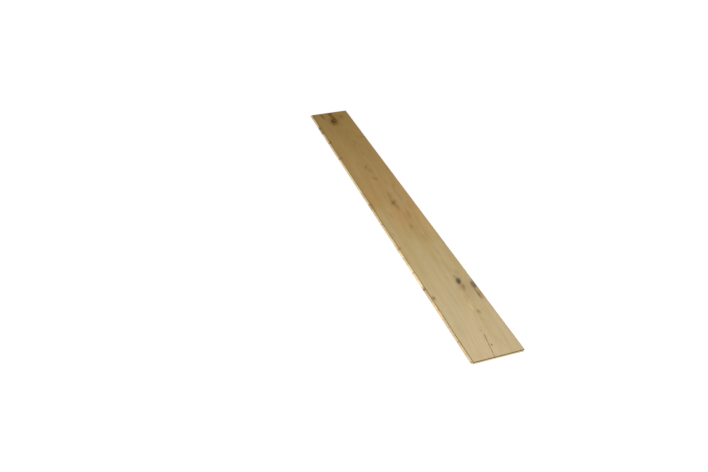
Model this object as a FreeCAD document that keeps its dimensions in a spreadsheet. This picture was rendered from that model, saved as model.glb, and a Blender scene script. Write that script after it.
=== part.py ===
import FreeCAD, Part
import Sketcher
import os

# Wide plank floorboard
#
# An engineered oak board that lies flat, face up: an oak wear layer, a core of crosswise
# softwood slats and a backing veneer, glued together. A tongue stands out along the left
# long side and the far end. The right long side and the near end have the groove that a
# neighbour's tongue enters.
#
# Millimetres. X runs across the board and Y along it. The origin is on the underside,
# below the middle of the face.

# Driving dimensions
SIZES = [
    ("face_width", 190.0, "visible width once laid"),
    ("face_length", 1900.0, "visible length once laid"),
    ("wear_thickness", 3.0, "oak layer, walked on and sanded again"),
    ("core_thickness", 9.0, "crosswise slats"),
    ("backing_thickness", 2.0, "veneer that balances the oak"),
    ("bevel_leg", 1.0, "small bevel on the four upper edges"),
    ("slat_pitch", 45.0, "nearest spacing that fills the length with whole slats"),
    ("slat_gap", 1.2, "open joint between two slats"),
    ("tongue_reach", 8.0, "how far the tongue stands out past the face"),
    ("tongue_thickness", 4.4, "centred on the core's height"),
    ("tongue_nose_bevel", 0.8, "bevel on both edges of the tongue's nose"),
    ("groove_clearance", 0.1, "above and below a neighbour's tongue"),
    ("groove_root_gap", 0.7, "between a neighbour's nose and the groove's root"),
    ("groove_mouth_bevel", 0.4, "lead-in on both lips of the groove"),
    ("lower_lip_setback", 0.4, "keeps the lower lip clear, so that the faces close first"),
]

doc = FreeCAD.newDocument("floorboard")
sheet = doc.addObject("Spreadsheet::Sheet", "Sizes")
for row, (name, value, meaning) in enumerate(SIZES, start=1):
    sheet.set(f"A{row}", name)
    sheet.set(f"B{row}", str(value))
    sheet.setAlias(f"B{row}", name)
    sheet.set(f"C{row}", meaning)
doc.recompute()

# Whole slats fill the length, flush with both ends, and their width follows from the count.
slat_count = max(2, round(sheet.face_length / sheet.slat_pitch))
SLAT_WIDTH = f"((Sizes.face_length + Sizes.slat_gap) / {slat_count} - Sizes.slat_gap)"

# Places across the board
LEFT_FACE = "-Sizes.face_width / 2"
RIGHT_FACE = "Sizes.face_width / 2"
TONGUE_NOSE = "-Sizes.face_width / 2 - Sizes.tongue_reach"
GROOVE_DEPTH = "(Sizes.tongue_reach + Sizes.groove_root_gap)"
LOWER_LIP = "Sizes.face_width / 2 - Sizes.lower_lip_setback"

# Heights above the bottom of the core
CORE_TOP = "Sizes.core_thickness"
TONGUE_TOP = "(Sizes.core_thickness + Sizes.tongue_thickness) / 2"
TONGUE_BOTTOM = "(Sizes.core_thickness - Sizes.tongue_thickness) / 2"
GROOVE_TOP = TONGUE_TOP + " + Sizes.groove_clearance"
GROOVE_BOTTOM = TONGUE_BOTTOM + " - Sizes.groove_clearance"
NOSE_TOP = TONGUE_TOP + " - Sizes.tongue_nose_bevel"
NOSE_BOTTOM = TONGUE_BOTTOM + " + Sizes.tongue_nose_bevel"
MOUTH_TOP = GROOVE_TOP + " + Sizes.groove_mouth_bevel"
MOUTH_BOTTOM = GROOVE_BOTTOM + " - Sizes.groove_mouth_bevel"


def new_body(name):
    body = doc.addObject("PartDesign::Body", name)
    body.Label = name
    return body


def new_sketch(body, name, plane):
    """A sketch on one of the body's own origin planes."""
    sketch = body.newObject("Sketcher::SketchObject", name)
    support = [item for item in body.Origin.OriginFeatures if item.Role == plane][0]
    sketch.AttachmentSupport = [(support, "")]
    sketch.MapMode = "FlatFace"
    return sketch


def draw_outline(sketch, corners):
    """A closed outline whose corners are pairs of size expressions, both from the origin."""
    first = sketch.GeometryCount
    places = [
        FreeCAD.Vector(sketch.evalExpression(across), sketch.evalExpression(up), 0)
        for across, up in corners
    ]
    following = places[1:] + places[:1]
    sketch.addGeometry([Part.LineSegment(a, b) for a, b in zip(places, following)])
    lines = range(first, first + len(corners))
    for line in lines:
        next_line = line + 1 if line + 1 in lines else first
        sketch.addConstraint(Sketcher.Constraint("Coincident", line, 2, next_line, 1))
    for line, place, (across, up) in zip(lines, places, corners):
        index = sketch.addConstraint(Sketcher.Constraint("DistanceX", -1, 1, line, 1, place.x))
        sketch.setExpression(f"Constraints[{index}]", across)
        index = sketch.addConstraint(Sketcher.Constraint("DistanceY", -1, 1, line, 1, place.y))
        sketch.setExpression(f"Constraints[{index}]", up)


def pad_sketch(body, name, sketch, length):
    pad = body.newObject("PartDesign::Pad", name)
    pad.Profile = sketch
    pad.setExpression("Length", length)
    return pad


def cut_across(body, name, sketch):
    """A cut through the body's whole width, checked to have taken material away."""
    whole = body.Tip.Shape.Volume
    cut = body.newObject("PartDesign::Pocket", name)
    cut.Profile = sketch
    cut.Type = "ThroughAll"
    cut.SideType = "Symmetric"
    doc.recompute()
    if not cut.Shape.Volume < whole:
        raise RuntimeError(f"{body.Label}: {name} cuts nothing")


# Section of a core slat

def slat_section():
    """The section that every slat shows along the board: tongue left, groove right."""
    groove_root = f"{RIGHT_FACE} - {GROOVE_DEPTH}"
    return [
        (LEFT_FACE, "0"),
        (LOWER_LIP, "0"),
        (LOWER_LIP, MOUTH_BOTTOM),
        (f"{LOWER_LIP} - Sizes.groove_mouth_bevel", GROOVE_BOTTOM),
        (groove_root, GROOVE_BOTTOM),
        (groove_root, GROOVE_TOP),
        (f"{RIGHT_FACE} - Sizes.groove_mouth_bevel", GROOVE_TOP),
        (RIGHT_FACE, MOUTH_TOP),
        (RIGHT_FACE, CORE_TOP),
        (LEFT_FACE, CORE_TOP),
        (LEFT_FACE, TONGUE_TOP),
        (f"{TONGUE_NOSE} + Sizes.tongue_nose_bevel", TONGUE_TOP),
        (TONGUE_NOSE, NOSE_TOP),
        (TONGUE_NOSE, NOSE_BOTTOM),
        (f"{TONGUE_NOSE} + Sizes.tongue_nose_bevel", TONGUE_BOTTOM),
        (LEFT_FACE, TONGUE_BOTTOM),
    ]


def make_slat(number):
    """One crosswise slat. Slat 1 is at the near end, and the last one at the far end."""
    body = new_body(f"slat_{number:02d}")
    sketch = new_sketch(body, f"{body.Name}_section", "XZ_Plane")
    draw_outline(sketch, slat_section())
    length = SLAT_WIDTH
    if number == slat_count:
        length += " + Sizes.tongue_reach"
    pad = pad_sketch(body, f"{body.Name}_stock", sketch, length)
    pad.Reversed = True
    spacing = f"({SLAT_WIDTH} + Sizes.slat_gap)"
    body.setExpression("Placement.Base.y", f"{number - 1} * {spacing} - Sizes.face_length / 2")
    body.setExpression("Placement.Base.z", "Sizes.backing_thickness")
    return body


# Profiles of the two ends, milled across the long sides' profiles

def cut_end_groove(body):
    """The near end's groove and its set-back lower lip, seen from the side."""
    outside = "-Sizes.tongue_reach"
    below = "-Sizes.tongue_reach"
    sketch = new_sketch(body, "end_groove_outline", "YZ_Plane")
    draw_outline(sketch, [
        (outside, below),
        ("Sizes.lower_lip_setback", below),
        ("Sizes.lower_lip_setback", MOUTH_BOTTOM),
        ("Sizes.lower_lip_setback + Sizes.groove_mouth_bevel", GROOVE_BOTTOM),
        (GROOVE_DEPTH, GROOVE_BOTTOM),
        (GROOVE_DEPTH, GROOVE_TOP),
        ("Sizes.groove_mouth_bevel", GROOVE_TOP),
        ("0", MOUTH_TOP),
        (outside, MOUTH_TOP),
    ])
    cut_across(body, "end_groove", sketch)


def cut_end_tongue(body):
    """The far end's tongue: the stock above and below it is milled off, and its nose bevelled.

    The long tongue runs on under the cutters, so the two tongues meet at the corner as one.
    """
    root = SLAT_WIDTH
    bevel_start = f"{SLAT_WIDTH} + Sizes.tongue_reach - Sizes.tongue_nose_bevel"
    nose = f"{SLAT_WIDTH} + Sizes.tongue_reach"
    outside = f"{SLAT_WIDTH} + 2 * Sizes.tongue_reach"
    above = "Sizes.core_thickness + Sizes.tongue_reach"
    below = "-Sizes.tongue_reach"
    sketch = new_sketch(body, "end_tongue_outline", "YZ_Plane")
    for tongue_edge, nose_edge, clear in (
        (TONGUE_TOP, NOSE_TOP, above),
        (TONGUE_BOTTOM, NOSE_BOTTOM, below),
    ):
        draw_outline(sketch, [
            (root, tongue_edge),
            (bevel_start, tongue_edge),
            (nose, nose_edge),
            (outside, nose_edge),
            (outside, clear),
            (root, clear),
        ])
    cut_across(body, "end_tongue", sketch)


# Core

slats = [make_slat(number) for number in range(1, slat_count + 1)]
doc.recompute()
cut_end_groove(slats[0])
cut_end_tongue(slats[-1])


# Oak wear layer, with its four upper edges bevelled

wear_layer = new_body("wear_layer")
wear_outline = new_sketch(wear_layer, "wear_outline", "XY_Plane")
draw_outline(wear_outline, [
    (LEFT_FACE, "-Sizes.face_length / 2"),
    (RIGHT_FACE, "-Sizes.face_length / 2"),
    (RIGHT_FACE, "Sizes.face_length / 2"),
    (LEFT_FACE, "Sizes.face_length / 2"),
])
wear_stock = pad_sketch(wear_layer, "wear_stock", wear_outline, "Sizes.wear_thickness")
doc.recompute()
upper_edges = [
    f"Edge{index}"
    for index, edge in enumerate(wear_stock.Shape.Edges, start=1)
    if all(abs(vertex.Z - wear_stock.Shape.BoundBox.ZMax) < 1e-6 for vertex in edge.Vertexes)
]
edge_bevel = wear_layer.newObject("PartDesign::Chamfer", "edge_bevel")
edge_bevel.Base = (wear_stock, upper_edges)
edge_bevel.setExpression("Size", "Sizes.bevel_leg")
wear_layer.setExpression("Placement.Base.z", "Sizes.backing_thickness + Sizes.core_thickness")


# Backing veneer, set back with the lower lip on the grooved sides

backing_veneer = new_body("backing_veneer")
backing_outline = new_sketch(backing_veneer, "backing_outline", "XY_Plane")
draw_outline(backing_outline, [
    (LEFT_FACE, "Sizes.lower_lip_setback - Sizes.face_length / 2"),
    (LOWER_LIP, "Sizes.lower_lip_setback - Sizes.face_length / 2"),
    (LOWER_LIP, "Sizes.face_length / 2"),
    (LEFT_FACE, "Sizes.face_length / 2"),
])
pad_sketch(backing_veneer, "backing_stock", backing_outline, "Sizes.backing_thickness")


# Check the whole document before anything is written

doc.recompute()
pieces = [wear_layer] + slats + [backing_veneer]
for item in doc.Objects:
    if "Invalid" in item.State or "Error" in item.State:
        raise RuntimeError(f"{item.Label} is not built: {item.State}")
for piece in pieces:
    shape = piece.Shape
    if shape.isNull() or not shape.isValid() or len(shape.Solids) != 1:
        raise RuntimeError(f"{piece.Label} is not one valid solid")

os.makedirs("parts", exist_ok=True)
for piece in pieces:
    piece.Shape.exportStep(os.path.join("parts", f"{piece.Label}.step"))

board = Part.makeCompound([piece.Shape for piece in pieces])
box = board.BoundBox
print(f"{len(pieces)} pieces, {slat_count} of them slats")
print(f"X {box.XMin:.2f} to {box.XMax:.2f}, Y {box.YMin:.2f} to {box.YMax:.2f}, "
      f"Z {box.ZMin:.2f} to {box.ZMax:.2f}")
print(f"volume {board.Volume / 1e6:.4f} litres")
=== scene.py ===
# A wide engineered oak floorboard lying face up: its layers' finish, the floor, the light and the camera
import math
from collections import namedtuple

import bpy
from mathutils import Matrix, Vector, noise

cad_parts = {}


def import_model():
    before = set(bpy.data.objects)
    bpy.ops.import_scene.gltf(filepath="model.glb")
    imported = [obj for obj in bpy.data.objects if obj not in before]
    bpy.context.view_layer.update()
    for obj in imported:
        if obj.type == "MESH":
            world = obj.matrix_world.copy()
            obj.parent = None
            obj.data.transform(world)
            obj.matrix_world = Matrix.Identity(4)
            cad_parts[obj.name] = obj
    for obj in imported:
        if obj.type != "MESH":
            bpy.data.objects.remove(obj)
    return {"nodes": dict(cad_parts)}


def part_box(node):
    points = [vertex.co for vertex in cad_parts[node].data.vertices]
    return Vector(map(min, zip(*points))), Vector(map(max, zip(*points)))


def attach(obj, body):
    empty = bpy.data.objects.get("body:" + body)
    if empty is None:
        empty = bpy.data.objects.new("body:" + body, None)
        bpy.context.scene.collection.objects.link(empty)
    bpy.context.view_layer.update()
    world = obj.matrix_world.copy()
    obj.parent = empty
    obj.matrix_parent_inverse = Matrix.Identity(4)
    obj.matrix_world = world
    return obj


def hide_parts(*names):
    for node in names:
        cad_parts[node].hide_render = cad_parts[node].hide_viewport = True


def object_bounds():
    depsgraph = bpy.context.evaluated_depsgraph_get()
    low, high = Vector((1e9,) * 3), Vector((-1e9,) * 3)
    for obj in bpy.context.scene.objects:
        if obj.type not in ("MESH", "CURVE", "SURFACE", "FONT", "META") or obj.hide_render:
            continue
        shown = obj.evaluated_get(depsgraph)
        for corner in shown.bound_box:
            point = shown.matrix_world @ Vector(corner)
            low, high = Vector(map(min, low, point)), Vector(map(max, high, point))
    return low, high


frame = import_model()
cad_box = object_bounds()

# Sizes of the board, in metres, read from the frame apart from the bevel
MM = 0.001
OAK_LOW, OAK_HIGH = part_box("wear_layer")
HALF_WIDTH = OAK_HIGH.x
HALF_LENGTH = OAK_HIGH.y
SLATS = sorted(name for name in frame["nodes"] if name.startswith("slat_"))
SLAT_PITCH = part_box(SLATS[1])[0].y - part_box(SLATS[0])[0].y
EDGE_BEVEL = 1.0 * MM

# Steps of the oak layer's mesh: fine across, long along the board, and short at sunken knots and the crack
STEP_ACROSS = 0.95 * MM
STEP_ALONG = 7.5 * MM
STEP_AT_KNOT = 2.5 * MM
SHARP_ANGLE = math.radians(25)

# A wave over the face: the most it adds, its turns a metre across and along, and its layer of the noise
Wave = namedtuple("Wave", "most across along layer")

# The hairline crack that runs in from the near end. It opens over its taper, a first share of its length,
# and as far from it as its pull reaches the mesh follows its bends.
CRACK_TIP = Vector((-0.8 * MM, -839 * MM))
CRACK_END = Vector((-17.5 * MM, -HALF_LENGTH))
CRACK_LENGTH = CRACK_TIP.y - CRACK_END.y
CRACK_WIDTH = 2.2 * MM
CRACK_LEAST_HALF = 0.06 * MM
CRACK_DEPTH = 0.9 * MM
CRACK_TAPER = 0.15
CRACK_OPEN = 0.9
CRACK_UNEVEN = Wave(0.3, 0, 90, 9.2)
CRACK_WANDER = Wave(0.7 * MM, 0, 55, 3.7)
CRACK_PULL = 60 * MM

# The tree that the face was sawn from: its pith runs below the face, a little askew, and its rings wander
PITH_ACROSS = 24 * MM
PITH_BELOW = 78 * MM
PITH_SLOPE = 0.024
PITH_WANDER = Wave(30 * MM, 0, 1.3, 8.1)
RING_WIDTH = 3.4 * MM
RING_WAVES = [Wave(2.4, 14, 1.7, 1.3), Wave(0.5, 60, 6, 5.9), Wave(0.15, 240, 22, 2.2)]
GRAIN_DEPTH = 0.05 * MM

# How the grain leans to the right as it runs along the board: a little all along, more at the near end. It
# wanders too, and parts at a knot by this share of the distance from the knot's middle.
LEAN = 0.03
LEAN_AT_END = 0.11
LEAN_REACH = 150 * MM
GRAIN_WANDER = Wave(6 * MM, 5, 2.6, 4.4)
PARTING = 0.8

# A knot in the grain: its middle on the face, how far the grain bends round it across and along, how many
# rings it lifts, and how deep it has shrunk. Lengths are in millimetres.
Knot = namedtuple("Knot", "x y across along rings sunk")
KNOTS = [
    Knot(-3, 851, 19, 36, 5.0, 0.22),
    Knot(5, 14, 15, 34, 3.0, 0.08),
    Knot(40, -561, 18, 38, 4.5, 0.18),
    Knot(86, -592, 18, 40, 4.5, 0.15),
    Knot(-90, -620, 12, 24, 2.5, 0.08),
    Knot(36, -736, 12, 24, 2.0, 0.05),
    Knot(-94, 626, 10, 22, 2.0, 0.06),
    Knot(-5, 330, 14, 48, 2.2, 0.0),
    Knot(2, 228, 14, 34, 1.6, 0.0),
    Knot(-52, 925, 10, 40, 2.0, 0.05),
]

# Colours as light reflected, red, green and blue: the face from its near end on, its sides and its bevels.
# The dark of the sides is painted shade, that of the ends partly the end grain's own dark and partly painted
# shade
OAK_NEAR = (0.552, 0.446, 0.268)
OAK_THIRD = (0.530, 0.407, 0.202)
OAK_MIDDLE = (0.504, 0.332, 0.138)
OAK_FAR = (0.397, 0.257, 0.084)
OAK_SIDE_PAINTED_SHADE = (0.16, 0.12, 0.06)
OAK_END_GRAIN_AND_SHADE = (0.118, 0.104, 0.062)
BEVEL = (0.80, 0.77, 0.70)

# How the face goes over from one colour to the next: each between two shares of its length. The stages are
# partly the wood's own drift and partly painted shade, darker and browner towards the far end
OAK_STAGES_WITH_PAINTED_SHADE = [(OAK_THIRD, 0.0, 0.34), (OAK_MIDDLE, 0.34, 0.52), (OAK_FAR, 0.52, 1.0)]

# Tones that darken the wood under them
EARLYWOOD = (0.80, 0.72, 0.58)
PORE = (0.55, 0.45, 0.33)
STREAK = (0.84, 0.79, 0.70)
SHADE = (0.74, 0.68, 0.62)
BROWN = (0.48, 0.41, 0.26)
DARK_BROWN = (0.52, 0.44, 0.24)
BARK = (0.13, 0.10, 0.05)
GREY = (0.42, 0.45, 0.70)
RUST = (0.72, 0.52, 0.42)
PURPLE = (0.56, 0.42, 0.50)
# Painted shade for the crack's groove
CRACK_PAINTED_SHADE = (0.13, 0.09, 0.03)

# Tones that shift its colour a little or lighten it
WARM = (1.02, 0.98, 0.95)
COOL = (0.97, 0.99, 0.97)
PINK = (1.03, 0.98, 0.99)
YELLOW = (1.02, 0.99, 0.74)
PALE = (1.08, 1.08, 1.10)
BRIGHT = (1.18, 1.19, 1.26)

# A mark in the wood: its middle, half sizes across and along the board, its turn to the left in degrees,
# its tone, strength, soft part of its radius, and the share of the radius that stays clear inside it.
Mark = namedtuple("Mark", "x y across along turn tone strength soft clear", defaults=(0.0,))
FACE_MARKS = [
    # Ring knot at the far end, with its brown halo and the rust that runs from it to the end
    Mark(-6, 836, 48, 84, 6, SHADE, 0.62, 1.0),
    Mark(-11, 829, 27, 50, -10, BROWN, 0.80, 0.95),
    Mark(0, 905, 20, 66, 4, RUST, 0.85, 0.95),
    Mark(4, 886, 10, 32, 16, BROWN, 0.75, 0.9),
    Mark(-4, 917, 12, 26, 6, BROWN, 0.52, 0.9),
    Mark(22, 908, 13, 34, 0, RUST, 0.45, 1.0),
    Mark(0, 940, 22, 24, 0, PURPLE, 0.80, 0.8),
    Mark(-49, 908, 9, 52, 6, BROWN, 0.60, 0.95),
    Mark(-51, 922, 9, 26, 4, BROWN, 0.55, 0.9),
    Mark(-48, 906, 9, 44, 6, RUST, 0.50, 1.0),
    Mark(-32, 908, 12, 26, 0, RUST, 0.22, 1.0),
    Mark(38, 880, 32, 44, 0, RUST, 0.50, 1.0),
    Mark(52, 893, 11, 22, 10, RUST, 0.65, 0.9),
    Mark(-54, 745, 34, 90, 0, PINK, 1.0, 1.0),
    Mark(50, 690, 40, 150, 0, YELLOW, 0.35, 1.0),
    Mark(-62, 380, 40, 420, 0, PALE, 0.60, 1.0),
    Mark(74, 634, 18, 28, 0, RUST, 0.30, 1.0),
    # Faint streaks and the brown knot in the middle
    Mark(-90, 457, 10, 22, 0, BROWN, 0.48, 0.9),
    Mark(64, 325, 16, 30, 0, YELLOW, 0.60, 1.0),
    Mark(-6, 340, 11, 27, -24, SHADE, 0.85, 0.9),
    Mark(0, 308, 9, 30, 16, SHADE, 0.75, 0.9),
    Mark(-2, 230, 15, 28, 20, SHADE, 0.65, 0.9),
    Mark(4, 219, 6, 13, 10, SHADE, 0.50, 0.9),
    Mark(9, -24, 8, 42, -4, SHADE, 1.0, 0.9),
    Mark(-7, -8, 12, 26, 0, SHADE, 0.32, 1.0),
    Mark(8, 70, 12, 52, 0, SHADE, 0.60, 1.0),
    Mark(17, 27, 9, 16, 0, SHADE, 0.85, 1.0),
    Mark(50, 48, 9, 68, -3, SHADE, 0.58, 1.0),
    Mark(76, -170, 30, 190, 0, PALE, 1.0, 1.0),
    Mark(-72, 140, 30, 110, 0, PALE, 0.55, 1.0),
    Mark(34, 180, 20, 64, 0, SHADE, 0.28, 1.0),
    Mark(49, 112, 9, 80, -5, SHADE, 0.55, 1.0),
    Mark(58, 150, 6, 32, -18, SHADE, 0.55, 1.0),
    Mark(62, -25, 24, 44, 0, RUST, 0.18, 1.0),
    Mark(-41, -76, 5, 54, -3, SHADE, 0.85, 1.0),
    Mark(34, -90, 12, 44, -4, SHADE, 0.55, 1.0),
    Mark(31, -190, 14, 38, 0, SHADE, 0.28, 1.0),
    Mark(12, -325, 13, 46, 0, PALE, 0.70, 1.0),
    Mark(-80, -146, 9, 30, 0, SHADE, 0.28, 1.0),
    Mark(9, -177, 10, 28, -6, SHADE, 0.70, 0.9),
    Mark(-91, 20, 5, 50, 0, BROWN, 0.60, 0.9),
    Mark(-91, -20, 5, 10, 0, SHADE, 0.80, 0.9),
    Mark(-86, -208, 9, 24, 0, SHADE, 0.45, 1.0),
    Mark(-92, -303, 6, 8, 0, BROWN, 0.80, 0.8),
    Mark(12, 50, 48, 140, 0, SHADE, 0.28, 1.0),
    # Two grey knots on the right of the near half, with their rust streaks
    Mark(52, -610, 44, 95, 0, SHADE, 0.42, 1.0),
    Mark(27, -600, 10, 30, -10, SHADE, 0.30, 1.0),
    Mark(-72, -800, 24, 60, 0, SHADE, 0.20, 1.0),
    Mark(60, -510, 18, 32, 0, RUST, 0.30, 1.0),
    Mark(39, -562, 8, 36, -12, GREY, 0.35, 1.0),
    Mark(41, -566, 6, 12, -14, BROWN, 0.40, 1.0),
    Mark(89, -602, 6, 15, -8, BROWN, 0.35, 1.0),
    Mark(38, -532, 9, 16, -14, GREY, 0.50, 1.0),
    Mark(43, -594, 13, 24, -18, RUST, 0.85, 0.95),
    Mark(38, -612, 7, 20, -20, RUST, 0.50, 1.0),
    Mark(87, -650, 10, 46, -3, RUST, 0.80, 0.9),
    Mark(78.5, -655, 4, 34, 0, BROWN, 0.65, 0.8),
    Mark(77, -645, 7, 58, -2, PURPLE, 0.62, 0.9),
    # Dots, the paler figure and the pink tinge at the near end
    Mark(-8, -862, 9, 22, -8, SHADE, 0.30, 1.0),
    Mark(-5, -826, 7, 7, 0, SHADE, 0.55, 1.0),
    Mark(2, -745, 22, 90, -4, PALE, 0.45, 1.0),
    Mark(14, -785, 6, 66, -14, PALE, 0.70, 1.0),
    Mark(22, -690, 7, 40, 0, PALE, 0.60, 1.0),
    Mark(20, -710, 8, 40, 14, BRIGHT, 0.80, 1.0),
    Mark(-20, -890, 90, 130, 0, PINK, 0.70, 1.0),
]

# The sawn face of a knot: its middle, half sizes across and along the board, turn to the left in degrees,
# tone and strength, its halo's reach in radii, and the share of the radius that stays clear inside it.
KnotFace = namedtuple("KnotFace", "x y across along turn tone strength halo clear", defaults=(0.0,))
KNOT_FACES = [
    KnotFace(-2, 852, 18, 25, 8, DARK_BROWN, 0.75, 2.3, 0.34),
    KnotFace(-10, 847, 4.5, 13, 14, DARK_BROWN, 0.80, 1.4),
    KnotFace(40, -560, 11, 22, -14, GREY, 0.84, 1.6),
    KnotFace(85, -595, 10.5, 25, -8, GREY, 0.72, 1.7),
    KnotFace(5, 13, 9, 18, 0, BROWN, 0.55, 2.4),
    KnotFace(34, -735, 5, 9, 0, BROWN, 0.35, 2.4),
    KnotFace(-89, -621, 6, 11, 0, BROWN, 0.60, 2.0),
    KnotFace(-94, 626, 5, 11, 0, BROWN, 0.80, 1.8),
    KnotFace(-0.5, -898, 2.4, 5, -10, BARK, 0.85, 1.8),
]

# Colours of the softwood in the core and under it
SLAT_TINTS = {
    "pale": (0.96, 0.78, 0.46),
    "tan": (0.86, 0.65, 0.365),
    "dull": (0.72, 0.57, 0.35),
    "brown": (0.655, 0.465, 0.235),
}
SLATS_OF_TINT = {
    "tan": {6, 7, 13, 15, 17, 18, 19, 20, 21, 24, 32, 33, 34, 35, 36, 42},
    "dull": {1, 2, 3, 4, 5, 8, 9},
    "brown": {22, 38, 39},
}
SLAT_RING_WIDTH = 2.3 * MM
SLAT_MARKS = [
    Mark(-99, -846, 10, 3.5, 0, BROWN, 0.9, 0.6),
    Mark(-99, -560, 11, 9, 0, BROWN, 0.95, 0.6),
    Mark(-99, -459, 10, 4, 0, BROWN, 0.9, 0.6),
    Mark(-99, -301, 11, 4, 0, BROWN, 0.95, 0.6),
    Mark(-99, -120, 10, 5, 0, BROWN, 0.7, 0.8),
    Mark(-99, 461, 11, 8, 0, BROWN, 0.9, 0.7),
    Mark(-99, 625, 11, 5, 0, BROWN, 0.95, 0.6),
    Mark(-99, 745, 12, 9, 0, BROWN, 0.9, 0.7),
    Mark(-99, 791, 12, 20, 0, BROWN, 0.8, 0.8),
]
BACKING_TINT = (0.60, 0.44, 0.25)
BACKING_RINGS = 16.0

# The core's edge above tongue and groove, darkened as painted shade
UPPER_LIP = 8.7 * MM
LIP_SIDE_PAINTED_SHADE = (0.22, 0.19, 0.14)
LIP_END_PAINTED_SHADE = (0.17, 0.15, 0.11)

# The colour of the softwood's sawn ends, and the tones that darken the rest of it
SAWN_END = (0.74, 0.70, 0.59)
LATEWOOD = (0.72, 0.55, 0.40)
FIBRE = (0.84, 0.77, 0.66)
AGED = (0.90, 0.86, 0.80)

# Noises in the materials: turns a metre across, along and through the board, detail, roughness, distortion
Noise = namedtuple(
    "Noise", "across along through detail roughness distortion", defaults=(1.0, 2.0, 0.5, 0.0)
)
COLOUR_SHIFT = Noise(9, 2.5)
STREAKS = Noise(34, 1.6, 1.0, 4.0, 0.6)
FINE_STREAKS = Noise(150, 5, 1.0, 3.0, 0.6)
RING_PATCHES = Noise(20, 2)
PORES = Noise(1500, 48, 400, 3.0, 0.6)
FIBRES = Noise(900, 9, 300, 3.0, 0.6)
MOTTLE = Noise(13, 6, 1.0, 3.0)
GLOSS_PATCHES = Noise(60, 6)
SLAT_RING_WAVES = Noise(9, 60, 60)
SLAT_FIBRES = Noise(14, 1400, 1400, 3.0, 0.6)
BACKING_BANDS = Noise(11, 1.1, 1.0, 2.0, 0.45, 0.6)
BACKING_PATCHES = Noise(16, 2, 1.0, 3.0)
BACKING_FIBRES = Noise(1100, 12, 300, 3.0, 0.6)

# How strongly rings and pores are drawn, from 0 to 1, and how far a slat's rings sway, in rings
EARLYWOOD_STRENGTH = 0.36
PORE_STRENGTH = 0.6
SLAT_LATEWOOD_STRENGTH = 0.25
BACKING_LATEWOOD_STRENGTH = 0.55
SLAT_RING_SWAY = 1.6

# What each feature adds to the relief, in shares of its depth
PORE_RELIEF = -1.0
FIBRE_RELIEF = 0.5
EARLYWOOD_RELIEF = -0.35
SLAT_LATEWOOD_RELIEF = 0.5
BACKING_LATEWOOD_RELIEF = 0.6

# Roughness of the lacquer, of the oak's bare sides on top of that, and of softwood
LACQUER_ROUGHNESS = (0.5, 0.6)
BARE_ROUGHER = 0.22
SOFTWOOD_ROUGHNESS = 0.78

# How far the outlines of marks and knots drift across the board, how many times as far along it, and the
# turns a metre across and along of the noise that moves them
FACE_DRIFT = 6 * MM
SLAT_DRIFT = 3 * MM
KNOT_DRIFT = 4 * MM
DRIFT_ALONG = 1.6
MARK_TURNS = (70, 45)
KNOT_TURNS = (170, 110)

# Where the clear inside of a mark, a knot, its halo and its checks fade, in shares of the radius
CLEAR_EDGE = 0.15
KNOT_EDGE = (1.1, 0.5)
HALO_END = 0.7
CHECK_REACH = (0.95, 0.6)

# How strong a halo is, a knot's own rings and the part of each that darkens, and its checks: their width and
# turns in the noise that lays them out, and how far that noise moves on for each millimetre on the face
HALO_STRENGTH = 0.5
KNOT_RINGS = 4.5
KNOT_RING_EDGE = (0.4, 0.9)
CHECK_WIDTH = 0.02
CHECK_TURNS = 2.2
CHECK_SHIFT = 0.3

# A slat's own pith lies up to this far aside of its middle, and between these depths under the board
SLAT_PITH_ASIDE = 30 * MM
SLAT_PITH_DEPTH = (10 * MM, 60 * MM)


# The oak layer as a mesh

def wave_at(wave, x, y):
    """What a wave adds at x, y."""
    return wave.most * noise.noise(Vector((wave.across * x, wave.along * y, wave.layer)))


def crack_middle(y):
    """How far across the board the crack's middle lies at y. Past its tip it stays where the tip is."""
    share = min(1.0, max(0.0, (CRACK_TIP.y - y) / CRACK_LENGTH))
    wander = math.sin(math.pi * share) * wave_at(CRACK_WANDER, 0, y)
    return CRACK_TIP.x + share * (CRACK_END.x - CRACK_TIP.x) + wander


def crack_opening(y):
    """How far the crack is open at y, in shares of its width: 0 at its tip, then about CRACK_OPEN."""
    share = (CRACK_TIP.y - y) / CRACK_LENGTH / CRACK_TAPER
    uneven = CRACK_OPEN + wave_at(CRACK_UNEVEN, 0, y)
    return uneven * math.sqrt(min(1.0, share)) if share > 0 else 0.0


def even_steps(start, end, step):
    """Places from start to end, both included, about a step apart."""
    count = max(1, round((end - start) / step))
    return [start + (end - start) * k / count for k in range(count + 1)]


def columns_across():
    """Places across the board, and the number of the column that follows the crack's bottom."""
    left = even_steps(-HALF_WIDTH + EDGE_BEVEL, CRACK_TIP.x - STEP_ACROSS, STEP_ACROSS)
    right = even_steps(CRACK_TIP.x + STEP_ACROSS, HALF_WIDTH - EDGE_BEVEL, STEP_ACROSS)
    at_crack = [CRACK_TIP.x - STEP_ACROSS / 2, CRACK_TIP.x, CRACK_TIP.x + STEP_ACROSS / 2]
    return [-HALF_WIDTH, *left, *at_crack, *right, HALF_WIDTH], len(left) + 2


def rows_along():
    """Places along the board, close together at the crack and at sunken knots."""
    rows = [-HALF_LENGTH, -HALF_LENGTH + EDGE_BEVEL]
    last = HALF_LENGTH - EDGE_BEVEL
    while rows[-1] < last - STEP_ALONG:
        y = rows[-1]
        near_knot = any(abs(y - knot.y * MM) < knot.along * MM for knot in KNOTS if knot.sunk)
        rows.append(y + (STEP_AT_KNOT if near_knot or y < CRACK_TIP.y else STEP_ALONG))
    return [*rows, last, HALF_LENGTH]


def knot_pull(knot, x, y):
    """How much of a knot's pull on the grain is left at x, y: 1 at its middle, falling off round it."""
    across = (x - knot.x * MM) / (knot.across * MM)
    along = (y - knot.y * MM) / (knot.along * MM)
    return math.exp(-across * across - along * along)


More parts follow.
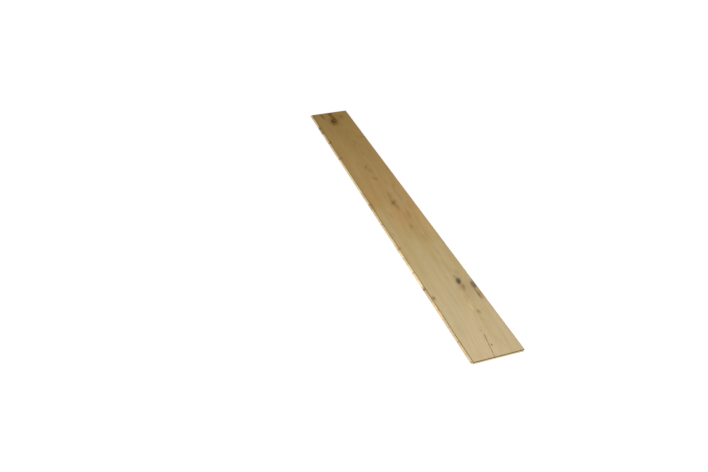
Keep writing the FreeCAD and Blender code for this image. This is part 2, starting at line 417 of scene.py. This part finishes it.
def growth_at(x, y, z):
    """Growth rings counted outwards from the pith, with their wander and their swirl round each knot."""
    across = x - PITH_ACROSS - wave_at(PITH_WANDER, x, y)
    below = PITH_BELOW + PITH_SLOPE * y + z - OAK_HIGH.z
    rings = math.hypot(across, below) / RING_WIDTH
    for wave in RING_WAVES:
        rings += wave_at(wave, x, y)
    return rings + sum(knot.rings * knot_pull(knot, x, y) for knot in KNOTS)


def flow_at(x, y):
    """The grain's own place across the board. It is the same all along a fibre."""
    lean = LEAN * y + LEAN_AT_END * LEAN_REACH * math.tanh((y + HALF_LENGTH) / LEAN_REACH)
    parting = sum(PARTING * (x - knot.x * MM) * knot_pull(knot, x, y) for knot in KNOTS)
    return x - lean - wave_at(GRAIN_WANDER, x, y) - parting


def face_sink(x, y, growth):
    """How far the face lies below its own plane: soft earlywood worn a little, and shrunken knots."""
    earlywood = (0.5 + 0.5 * math.cos(2 * math.pi * growth)) ** 2
    knots = sum(knot.sunk * MM * knot_pull(knot, x, y) ** 2 for knot in KNOTS)
    return GRAIN_DEPTH * earlywood + knots


class Layer:
    """The oak layer's points, each with what its material reads there, and the faces between them."""

    def __init__(self):
        self.points = []
        self.faces = []
        self.read = {"growth": [], "flow": [], "crack": []}

    def add(self, x, y, z, growth, crack=0.0):
        """One more point, with what the material reads there."""
        self.points.append((x, y, z))
        for name, value in (("growth", growth), ("flow", flow_at(x, y)), ("crack", crack)):
            self.read[name].append(value)

    def lay(self, columns, crack_column, rows):
        """The face as a grid of points, with the crack as a groove and the foot of the bevels as its rim."""
        for y in rows:
            shift = crack_middle(y) - CRACK_TIP.x
            opening = crack_opening(y)
            for number, place in enumerate(columns):
                from_crack = number - crack_column
                fade = max(0.0, 1 - abs(place - CRACK_TIP.x) / CRACK_PULL)
                x = place + shift * fade * fade
                if abs(from_crack) == 1 and opening:
                    x = crack_middle(y) + from_crack * (CRACK_LEAST_HALF + opening * CRACK_WIDTH / 2)
                on_rim = abs(place) == HALF_WIDTH or abs(y) == HALF_LENGTH
                growth = growth_at(x, y, OAK_HIGH.z)
                sink = EDGE_BEVEL if on_rim else face_sink(x, y, growth)
                at_bottom = opening if from_crack == 0 else 0.0
                self.add(x, y, OAK_HIGH.z - sink - CRACK_DEPTH * at_bottom, growth, at_bottom ** 0.5)

    def join(self, wide, long):
        """The faces between the grid's points."""
        for row in range(long - 1):
            for k in range(row * wide, row * wide + wide - 1):
                self.faces.append((k, k + 1, k + wide + 1, k + wide))

    def close(self, wide, long):
        """The walls, which go down from the rim, and the underside as strips across the board."""
        near = list(range(wide))
        far = [(long - 1) * wide + k for k in range(wide)]
        left = [row * wide for row in range(long)]
        right = [row * wide + wide - 1 for row in range(long)]
        rim = near + right[1:] + far[-2::-1] + left[-2:0:-1]
        low = {}
        for index in rim:
            low[index] = len(self.points)
            x, y, _ = self.points[index]
            self.add(x, y, OAK_LOW.z, growth_at(x, y, OAK_LOW.z))
        for here, there in zip(rim, rim[1:] + rim[:1]):
            self.faces.append((here, low[here], low[there], there))
        strips = [(left[row], left[row + 1], right[row + 1], right[row]) for row in range(1, long - 2)]
        strips.append((left[1], right[1], *near[::-1]))
        strips.append((right[-2], left[-2], *far))
        self.faces += [tuple(low[k] for k in strip) for strip in strips]


def oak_layer():
    """The oak layer: bevelled edges, the crack as a groove, sunken knots and the grain's relief on top."""
    columns, crack_column = columns_across()
    rows = rows_along()
    layer = Layer()
    layer.lay(columns, crack_column, rows)
    layer.join(len(columns), len(rows))
    layer.close(len(columns), len(rows))

    mesh = bpy.data.meshes.new("oak_face")
    mesh.from_pydata(layer.points, [], layer.faces)
    mesh.validate()
    for name, values in layer.read.items():
        mesh.attributes.new(name, "FLOAT", "POINT").data.foreach_set("value", values)
    mesh.shade_smooth()
    mesh.set_sharp_from_angle(angle=SHARP_ANGLE)
    piece = bpy.data.objects.new("oak_face", mesh)
    bpy.context.collection.objects.link(piece)
    return piece


# Materials

class Nodes:
    """A node tree that is emptied and then built node by node."""

    def __init__(self, tree):
        self.tree = tree
        self.tree.nodes.clear()

    def node(self, kind, inputs=None, **settings):
        """A new node with its settings. Each input is linked to an output or set to a value."""
        made = self.tree.nodes.new("ShaderNode" + kind)
        for name, value in settings.items():
            setattr(made, name, value)
        for name, value in (inputs or {}).items():
            socket = made.inputs[name]
            if isinstance(value, bpy.types.NodeSocket):
                self.tree.links.new(value, socket)
            else:
                socket.default_value = (*value, 1.0) if socket.type == "RGBA" else value
        return made

    def calc(self, operation, *values):
        """What a math node makes of some values."""
        return self.node("Math", dict(enumerate(values)), operation=operation).outputs[0]

    def vector(self, operation, *values):
        """The outputs of a vector math node."""
        return self.node("VectorMath", dict(enumerate(values)), operation=operation).outputs

    def spread(self, value, start, end, low=0.0, high=1.0, smooth=True):
        """value, taken from start..end to low..high and held there."""
        inputs = {"Value": value, "From Min": start, "From Max": end, "To Min": low, "To Max": high}
        kind = "SMOOTHSTEP" if smooth else "LINEAR"
        return self.node("MapRange", inputs, interpolation_type=kind).outputs["Result"]

    def seen_directly(self):
        """1 for rays from the camera, from gloss and through glass, 0 for the rays that light things."""
        path = self.node("LightPath").outputs
        seen = self.calc("MAXIMUM", path["Is Camera Ray"], path["Is Glossy Ray"])
        return self.calc("MAXIMUM", seen, path["Is Transmission Ray"])


class Wood(Nodes):
    """A wood material. Its colour starts as one tone and is worked over step by step."""

    def __init__(self, name, colour):
        self.material = bpy.data.materials.new(name)
        self.material.use_nodes = True
        super().__init__(self.material.node_tree)
        self.colour = colour
        self.place = self.node("TexCoord").outputs["Object"]
        split = self.node("SeparateXYZ", {"Vector": self.place}).outputs
        self.y, self.z = split["Y"], split["Z"]
        normal = self.node("NewGeometry").outputs["True Normal"]
        facing = self.node("SeparateXYZ", {"Vector": normal}).outputs
        self.end_face = self.spread(self.calc("ABSOLUTE", facing["Y"]), start=0.75, end=0.9)
        self.side_face = self.spread(self.calc("ABSOLUTE", facing["X"]), start=0.75, end=0.9)
        self.sloping = self.spread(facing["Z"], start=0.9, end=0.8)

    def attribute(self, name):
        """A value that the mesh holds at each of its points."""
        return self.node("Attribute", attribute_name=name).outputs["Fac"]

    def cloud(self, kind, place=None):
        """A soft noise over the wood, from 0 to 1."""
        vector = self.vector("MULTIPLY", place or self.place, (kind.across, kind.along, kind.through))[0]
        inputs = {"Vector": vector, "Scale": 1.0, "Detail": kind.detail, "Roughness": kind.roughness}
        return self.node("TexNoise", {**inputs, "Distortion": kind.distortion}).outputs["Fac"]

    def mix(self, kind, colour, amount):
        inputs = {0: amount, 6: self.colour, 7: colour}
        mixed = self.node("Mix", inputs, data_type="RGBA", blend_type=kind, clamp_factor=True)
        self.colour = mixed.outputs[2]

    def tone(self, colour, amount):
        """Multiplies the colour so far by a tone, as much as amount says."""
        self.mix("MULTIPLY", colour, amount)

    def blend(self, colour, amount):
        """Brings the colour so far to another, as much as amount says."""
        self.mix("MIX", colour, amount)

    def latewood(self, ring, start, end, fall):
        """A ring's density, which rises from start to end of its width, and falls again from fall to 1."""
        return self.calc("MULTIPLY", self.spread(ring, start, end), self.spread(ring, 1.0, fall))

    def drifted(self, wander, turns):
        """The place on the flat board, shifted by about wander by a noise of so many turns a metre."""
        waves = self.vector("MULTIPLY", self.place, (*turns, 1.0))[0]
        colour = self.node("TexNoise", {"Vector": waves, "Scale": 1.0, "Detail": 3.0}).outputs["Color"]
        centred = self.vector("SUBTRACT", colour, (0.5, 0.5, 0.5))[0]
        flat = self.vector("MULTIPLY", self.place, (1, 1, 0))[0]
        return self.vector("MULTIPLY_ADD", centred, (wander, DRIFT_ALONG * wander, 0), flat)[0]

    def inside(self, place, oval):
        """The place as seen from an oval's middle, and its distance, both in shares of its half sizes."""
        # Vector nodes alone, so that many marks stay within the renderer's stack
        offset = self.vector("SUBTRACT", place, (oval.x * MM, oval.y * MM, 0))[0]
        turn = math.radians(oval.turn)
        across, along = oval.across * MM, oval.along * MM
        axes = {
            "X": (math.cos(turn) / across, math.sin(turn) / across, 0),
            "Y": (-math.sin(turn) / along, math.cos(turn) / along, 0),
        }
        shares = {name: self.vector("DOT_PRODUCT", offset, axis)["Value"] for name, axis in axes.items()}
        within = self.node("CombineXYZ", shares).outputs[0]
        return within, self.vector("LENGTH", within)["Value"]

    def clear_inside(self, amount, radius, clear):
        """amount, but none of it inside the share of the radius that stays clear."""
        if not clear:
            return amount
        return self.calc("MULTIPLY", amount, self.spread(radius, clear - CLEAR_EDGE, clear + CLEAR_EDGE))

    def marks(self, marks, wander):
        """Lays soft oval marks on the colour, with outlines that drift by up to about wander."""
        place = self.drifted(wander, MARK_TURNS)
        for mark in marks:
            radius = self.inside(place, mark)[1]
            amount = self.spread(radius, 1.0, 1.0 - mark.soft, high=mark.strength)
            self.tone(mark.tone, self.clear_inside(amount, radius, mark.clear))

    def knots(self, knots, wander):
        """Lays knots on the colour: a halo, a ragged dark face with rings, and checks from its middle."""
        place = self.drifted(wander, KNOT_TURNS)
        for knot in knots:
            within, radius = self.inside(place, knot)
            face = self.spread(radius, *KNOT_EDGE, high=knot.strength)
            core = self.clear_inside(face, radius, knot.clear)
            self.tone(SHADE, self.spread(radius, knot.halo, HALO_END, high=HALO_STRENGTH))
            self.tone(knot.tone, core)
            ring = self.calc("FRACT", self.calc("MULTIPLY", radius, KNOT_RINGS))
            self.tone(SHADE, self.calc("MULTIPLY", core, self.spread(ring, *KNOT_RING_EDGE)))
            self.tone(BARK, self.checks(knot, within, radius))

    def checks(self, knot, within, radius):
        """The fine checks that run out from a knot's middle and fade towards its edge."""
        direction = self.vector("NORMALIZE", within)[0]
        shift = (CHECK_SHIFT * knot.x, CHECK_SHIFT * knot.y, 0)
        turning = self.vector("MULTIPLY_ADD", direction, (CHECK_TURNS,) * 3, shift)[0]
        spokes = self.node("TexNoise", {"Vector": turning, "Scale": 1.0, "Detail": 1.0}).outputs["Fac"]
        from_spoke = self.calc("ABSOLUTE", self.calc("SUBTRACT", spokes, 0.5))
        check = self.spread(from_spoke, CHECK_WIDTH, 0.0)
        return self.calc("MULTIPLY", check, self.spread(radius, *CHECK_REACH, high=knot.strength))

    def finish(self, roughness, relief, strength, depth, specular):
        """The material with the colour so far, and the relief as bumps of a depth in metres."""
        bumps = {"Height": relief, "Strength": strength, "Distance": depth}
        normal = self.node("Bump", bumps).outputs["Normal"]
        inputs = {"Base Color": self.colour, "Roughness": roughness, "Specular IOR Level": specular}
        shader = self.node("BsdfPrincipled", {**inputs, "Normal": normal})
        self.node("OutputMaterial", {"Surface": shader.outputs[0]})
        return self.material


def oak_ground(wood, grain):
    """The oak's slow change of colour along the board, partly painted shade that darkens it towards the far
    end, and its streaks.
    """
    along = wood.calc("MULTIPLY_ADD", wood.y, 1 / (2 * HALF_LENGTH), 0.5)
    shift = wood.spread(wood.cloud(COLOUR_SHIFT), start=0.3, end=0.7, low=-0.08, high=0.08)
    along = wood.calc("ADD", along, shift)
    # Painted shade in part: the stages darken and brown the face towards its far end
    for colour, start, end in OAK_STAGES_WITH_PAINTED_SHADE:
        wood.blend(colour, wood.spread(along, start, end, smooth=False))
    wood.tone(STREAK, wood.spread(wood.cloud(STREAKS, grain), start=0.42, end=0.66, high=0.35))
    wood.tone(STREAK, wood.spread(wood.cloud(FINE_STREAKS, grain), start=0.45, end=0.7, high=0.35))


def oak_rings(wood, grain):
    """The oak's growth rings, with the pores that crowd in their earlywood, and its fibres."""
    ring = wood.calc("FRACT", wood.attribute("growth"))
    falling = wood.spread(ring, start=0.4, end=0.0)
    rising = wood.spread(ring, start=0.9, end=1.0)
    earlywood = wood.calc("MAXIMUM", falling, rising)
    patchy = wood.spread(wood.cloud(RING_PATCHES), start=0.35, end=0.65, low=0.35)
    drawn = wood.calc("MULTIPLY", earlywood, patchy)
    wood.tone(EARLYWOOD, wood.calc("MULTIPLY", drawn, EARLYWOOD_STRENGTH))
    pores = wood.spread(wood.cloud(PORES, grain), start=0.55, end=0.68)
    pores = wood.calc("MULTIPLY", pores, wood.spread(earlywood, start=0.0, end=1.0, low=0.22))
    wood.tone(PORE, wood.calc("MULTIPLY", pores, PORE_STRENGTH))
    fibres = wood.cloud(FIBRES, grain)
    wood.tone(STREAK, wood.spread(fibres, start=0.42, end=0.7, high=0.4))
    return earlywood, pores, fibres


def oak_material():
    """Matt lacquered oak: slow colour change that is partly painted shade, streaks, growth rings with open
    pores, knots and crack, with painted shade on its sides, ends and crack.
    """
    wood = Wood("oak_face", OAK_NEAR)
    grain = wood.node("CombineXYZ", {"X": wood.attribute("flow"), "Y": wood.y, "Z": wood.z}).outputs[0]
    oak_ground(wood, grain)
    earlywood, pores, fibres = oak_rings(wood, grain)
    mottle = wood.cloud(MOTTLE)
    wood.tone(WARM, wood.spread(mottle, start=0.5, end=0.68))
    wood.tone(COOL, wood.spread(mottle, start=0.5, end=0.34))
    wood.marks(FACE_MARKS, FACE_DRIFT)
    wood.knots(KNOT_FACES, KNOT_DRIFT)
    # Painted shade in the crack's groove, darkest at its bottom
    wood.tone(CRACK_PAINTED_SHADE, wood.spread(wood.attribute("crack"), start=0.0, end=0.28))
    wood.tone(BEVEL, wood.sloping)
    # Painted shade on the oak's sides, and on its ends partly the end grain's own dark, partly painted shade
    wood.blend(OAK_SIDE_PAINTED_SHADE, wood.side_face)
    wood.blend(OAK_END_GRAIN_AND_SHADE, wood.end_face)

    relief = wood.calc("MULTIPLY_ADD", pores, PORE_RELIEF, wood.calc("MULTIPLY", fibres, FIBRE_RELIEF))
    relief = wood.calc("MULTIPLY_ADD", earlywood, EARLYWOOD_RELIEF, relief)
    roughness = wood.spread(wood.cloud(GLOSS_PATCHES), 0.3, 0.7, *LACQUER_ROUGHNESS)
    bare = wood.calc("MAXIMUM", wood.end_face, wood.side_face)
    roughness = wood.calc("MULTIPLY_ADD", bare, BARE_ROUGHER, roughness)
    return wood.finish(roughness, relief, strength=0.35, depth=0.3 * MM, specular=0.01)


def slat_numbers(wood):
    """The number of the slat at each place, from 0 at the near end, and three chances of its own."""
    number = wood.calc("FLOOR", wood.calc("MULTIPLY_ADD", wood.y, 1 / SLAT_PITCH, HALF_LENGTH / SLAT_PITCH))
    number = wood.calc("MINIMUM", number, len(SLATS) - 1.0)
    chance = wood.node("TexWhiteNoise", {"W": number}, noise_dimensions="1D").outputs["Color"]
    return number, wood.node("SeparateXYZ", {"Vector": chance}).outputs


def slat_rings(wood, number, chances):
    """The latewood of each slat's rings, which curve round a pith of its own that lies across the board."""
    middle = wood.calc("MULTIPLY_ADD", number, SLAT_PITCH, SLAT_PITCH / 2 - HALF_LENGTH)
    aside = wood.spread(chances["X"], 0, 1, -SLAT_PITH_ASIDE, SLAT_PITH_ASIDE, smooth=False)
    sideways = wood.calc("ADD", wood.calc("SUBTRACT", wood.y, middle), aside)
    height = wood.calc("ADD", wood.z, wood.spread(chances["Y"], 0, 1, *SLAT_PITH_DEPTH, smooth=False))
    squares = [wood.calc("MULTIPLY", distance, distance) for distance in (sideways, height)]
    rings = wood.calc("MULTIPLY", wood.calc("SQRT", wood.calc("ADD", *squares)), 1 / SLAT_RING_WIDTH)
    swaying = wood.calc("MULTIPLY_ADD", wood.cloud(SLAT_RING_WAVES), SLAT_RING_SWAY, rings)
    ring = wood.calc("FRACT", swaying)
    return wood.latewood(ring, start=0.25, end=0.88, fall=0.92)


def slat_edges(wood):
    """The edge above tongue and groove darkened with painted shade, the sawn ends, and painted shade on the
    walls of the inner joints.
    """
    upper = wood.spread(wood.z, UPPER_LIP - 0.1 * MM, UPPER_LIP + 0.3 * MM)
    # Painted shade on the core's sides above the tongue and groove
    wood.tone(LIP_SIDE_PAINTED_SHADE, wood.calc("MULTIPLY", upper, wood.side_face))
    outside = wood.calc("GREATER_THAN", wood.calc("ABSOLUTE", wood.y), HALF_LENGTH - EDGE_BEVEL)
    # Painted shade on the walls of the inner joints between slats
    wood.tone(SHADE, wood.calc("MULTIPLY", wood.end_face, wood.calc("SUBTRACT", 1.0, outside)))
    outer_end = wood.calc("MULTIPLY", wood.end_face, outside)
    wood.blend(SAWN_END, outer_end)
    # Painted shade on the outer ends above the groove
    wood.tone(LIP_END_PAINTED_SHADE, wood.calc("MULTIPLY", upper, outer_end))


def slat_material(tint_name):
    """Bare planed softwood of one tint, with its grain across the board."""
    wood = Wood("core_slat_" + tint_name, SLAT_TINTS[tint_name])
    number, chances = slat_numbers(wood)
    latewood = slat_rings(wood, number, chances)
    wood.tone(AGED, wood.spread(chances["Z"], 0, 1, high=0.5, smooth=False))
    wood.tone(LATEWOOD, wood.calc("MULTIPLY", latewood, SLAT_LATEWOOD_STRENGTH))
    fibres = wood.cloud(SLAT_FIBRES)
    wood.tone(FIBRE, wood.spread(fibres, start=0.45, end=0.7, high=0.4))
    wood.marks(SLAT_MARKS, SLAT_DRIFT)
    slat_edges(wood)
    relief = wood.calc("MULTIPLY_ADD", latewood, SLAT_LATEWOOD_RELIEF, fibres)
    return wood.finish(SOFTWOOD_ROUGHNESS, relief, strength=0.3, depth=0.25 * MM, specular=0.2)


def backing_material():
    """Bare sanded veneer, peeled from the log, so its rings lie as wide wavy bands."""
    wood = Wood("backing", BACKING_TINT)
    ring = wood.calc("FRACT", wood.calc("MULTIPLY", wood.cloud(BACKING_BANDS), BACKING_RINGS))
    latewood = wood.latewood(ring, start=0.2, end=0.85, fall=0.9)
    wood.tone(AGED, wood.spread(wood.cloud(BACKING_PATCHES), start=0.4, end=0.65))
    wood.tone(LATEWOOD, wood.calc("MULTIPLY", latewood, BACKING_LATEWOOD_STRENGTH))
    fibres = wood.cloud(BACKING_FIBRES)
    wood.tone(FIBRE, wood.spread(fibres, start=0.42, end=0.7, high=0.8))
    wood.blend(SAWN_END, wood.end_face)
    relief = wood.calc("MULTIPLY_ADD", latewood, BACKING_LATEWOOD_RELIEF, fibres)
    return wood.finish(SOFTWOOD_ROUGHNESS, relief, strength=0.3, depth=0.25 * MM, specular=0.2)


def give(node, material):
    """Puts one material on all of a node."""
    for slot in node.material_slots:
        slot.material = material


# Floor, light and camera

FLOOR_REACH = 30.0
FLOOR_COLOUR = (0.50, 0.50, 0.50)
FLOOR_GLOW = 0.69
FLOOR_GLOW_FAR = 0.86
GLOW_REACH = (1.0, 3.5)
SHADE_REACH = 8 * MM
WORLD_LIGHT = 0.45
WHITE = (1.0, 1.0, 1.0)

# Lamps: place, the point that each looks at, width in metres and power in watts
Lamp = namedtuple("Lamp", "name place target width power")
LAMPS = [
    Lamp("key", (-0.8, -2.2, 2.6), (0, -0.3, 0), 1.6, 38),
    Lamp("left_fill", (-2.3, -1.9, 0.9), (0, 0, 0), 1.2, 40),
    Lamp("front_fill", (0.2, -3.4, 1.7), (0, -0.9, 0), 1.2, 22),
]


def beside_board(nodes, place, low, high):
    """1 outside low and high, the board's outer edges, and 0 further in than the shade under its tongue."""
    below = nodes.spread(place, low, low + SHADE_REACH, 1.0, 0.0)
    above = nodes.spread(place, high - SHADE_REACH, high, 0.0, 1.0)
    return nodes.calc("MAXIMUM", below, above)


def floor_material():
    """Matt grey that keeps the board's shadow, and glows to white beside the board where it is looked at."""
    material = bpy.data.materials.new("floor")
    material.use_nodes = True
    nodes = Nodes(material.node_tree)
    place = nodes.node("TexCoord").outputs["Object"]
    level = nodes.spread(nodes.vector("LENGTH", place)["Value"], *GLOW_REACH, FLOOR_GLOW, FLOOR_GLOW_FAR)
    split = nodes.node("SeparateXYZ", {0: place}).outputs
    low, high = cad_box
    beside = beside_board(nodes, split["X"], low[0], high[0])
    beyond = beside_board(nodes, split["Y"], low[1], high[1])
    level = nodes.calc("MULTIPLY", level, nodes.calc("MAXIMUM", beside, beyond))
    matt = nodes.node("BsdfDiffuse", {"Color": FLOOR_COLOUR})
    glow = nodes.node("Emission", {"Strength": nodes.calc("MULTIPLY", level, nodes.seen_directly())})
    both = nodes.node("AddShader", {0: matt.outputs[0], 1: glow.outputs[0]})
    nodes.node("OutputMaterial", {"Surface": both.outputs[0]})
    return material


def floor():
    """A plain pale floor, far wider than the board."""
    mesh = bpy.data.meshes.new("floor")
    corners = [(-1, -1), (1, -1), (1, 1), (-1, 1)]
    mesh.from_pydata([(FLOOR_REACH * x, FLOOR_REACH * y, 0) for x, y in corners], [], [(0, 1, 2, 3)])
    plane = bpy.data.objects.new("floor", mesh)
    bpy.context.collection.objects.link(plane)
    mesh.materials.append(floor_material())


def world():
    """Even light from all round, white where it is seen."""
    made = bpy.data.worlds.new("studio")
    bpy.context.scene.world = made
    made.use_nodes = True
    nodes = Nodes(made.node_tree)
    lit = nodes.node("Background", {"Color": WHITE, "Strength": WORLD_LIGHT})
    seen = nodes.node("Background", {"Color": WHITE, "Strength": 1.0})
    mix = nodes.node("MixShader", {0: nodes.seen_directly(), 1: lit.outputs[0], 2: seen.outputs[0]})
    nodes.node("OutputWorld", {"Surface": mix.outputs[0]})


def softbox(lamp):
    """A square area lamp that points at its target."""
    light = bpy.data.lights.new(lamp.name, "AREA")
    light.shape = "SQUARE"
    light.size = lamp.width
    light.energy = lamp.power
    holder = bpy.data.objects.new(lamp.name, light)
    holder.location = lamp.place
    holder.rotation_euler = (Vector(lamp.target) - Vector(lamp.place)).to_track_quat("-Z", "Y").to_euler()
    bpy.context.collection.objects.link(holder)


# The photograph's frame and the camera that fits the board's corners in it
FRAME_WIDTH = 708
FOCAL_PIXELS = 680
SENSOR_WIDTH = 36.0
CAMERA_PLACE = (-0.98884, -2.28617, 1.65191)
CAMERA_AZIMUTH = math.radians(19.461)
CAMERA_ELEVATION = math.radians(-36.095)
CAMERA_ROLL = math.radians(0.894)


def camera():
    """The camera, from its place, its two angles and its roll."""
    lens = bpy.data.cameras.new("camera")
    lens.sensor_fit = "HORIZONTAL"
    lens.sensor_width = SENSOR_WIDTH
    lens.lens = SENSOR_WIDTH * FOCAL_PIXELS / FRAME_WIDTH
    level = math.cos(CAMERA_ELEVATION)
    east, north = math.sin(CAMERA_AZIMUTH) * level, math.cos(CAMERA_AZIMUTH) * level
    ahead = Vector((east, north, math.sin(CAMERA_ELEVATION)))
    sideways = ahead.cross(Vector((0, 0, 1))).normalized()
    upwards = sideways.cross(ahead)
    right = math.cos(CAMERA_ROLL) * sideways + math.sin(CAMERA_ROLL) * upwards
    top = math.cos(CAMERA_ROLL) * upwards - math.sin(CAMERA_ROLL) * sideways
    holder = bpy.data.objects.new("camera", lens)
    turned = Matrix((right, top, -ahead)).transposed().to_4x4()
    holder.matrix_world = Matrix.Translation(CAMERA_PLACE) @ turned
    bpy.context.collection.objects.link(holder)
    bpy.context.scene.camera = holder


# The board
oak = oak_layer()
oak.data.materials.append(oak_material())
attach(oak, "root")
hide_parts("wear_layer")

slat_looks = {tint: slat_material(tint) for tint in SLAT_TINTS}
for slat_number, slat_name in enumerate(SLATS, 1):
    tints = [tint for tint, numbers in SLATS_OF_TINT.items() if slat_number in numbers]
    give(frame["nodes"][slat_name], slat_looks[tints[0] if tints else "pale"])
give(frame["nodes"]["backing_veneer"], backing_material())

# The studio
floor()
world()
for lamp in LAMPS:
    softbox(lamp)
camera()
bpy.context.scene.view_settings.view_transform = "Standard"
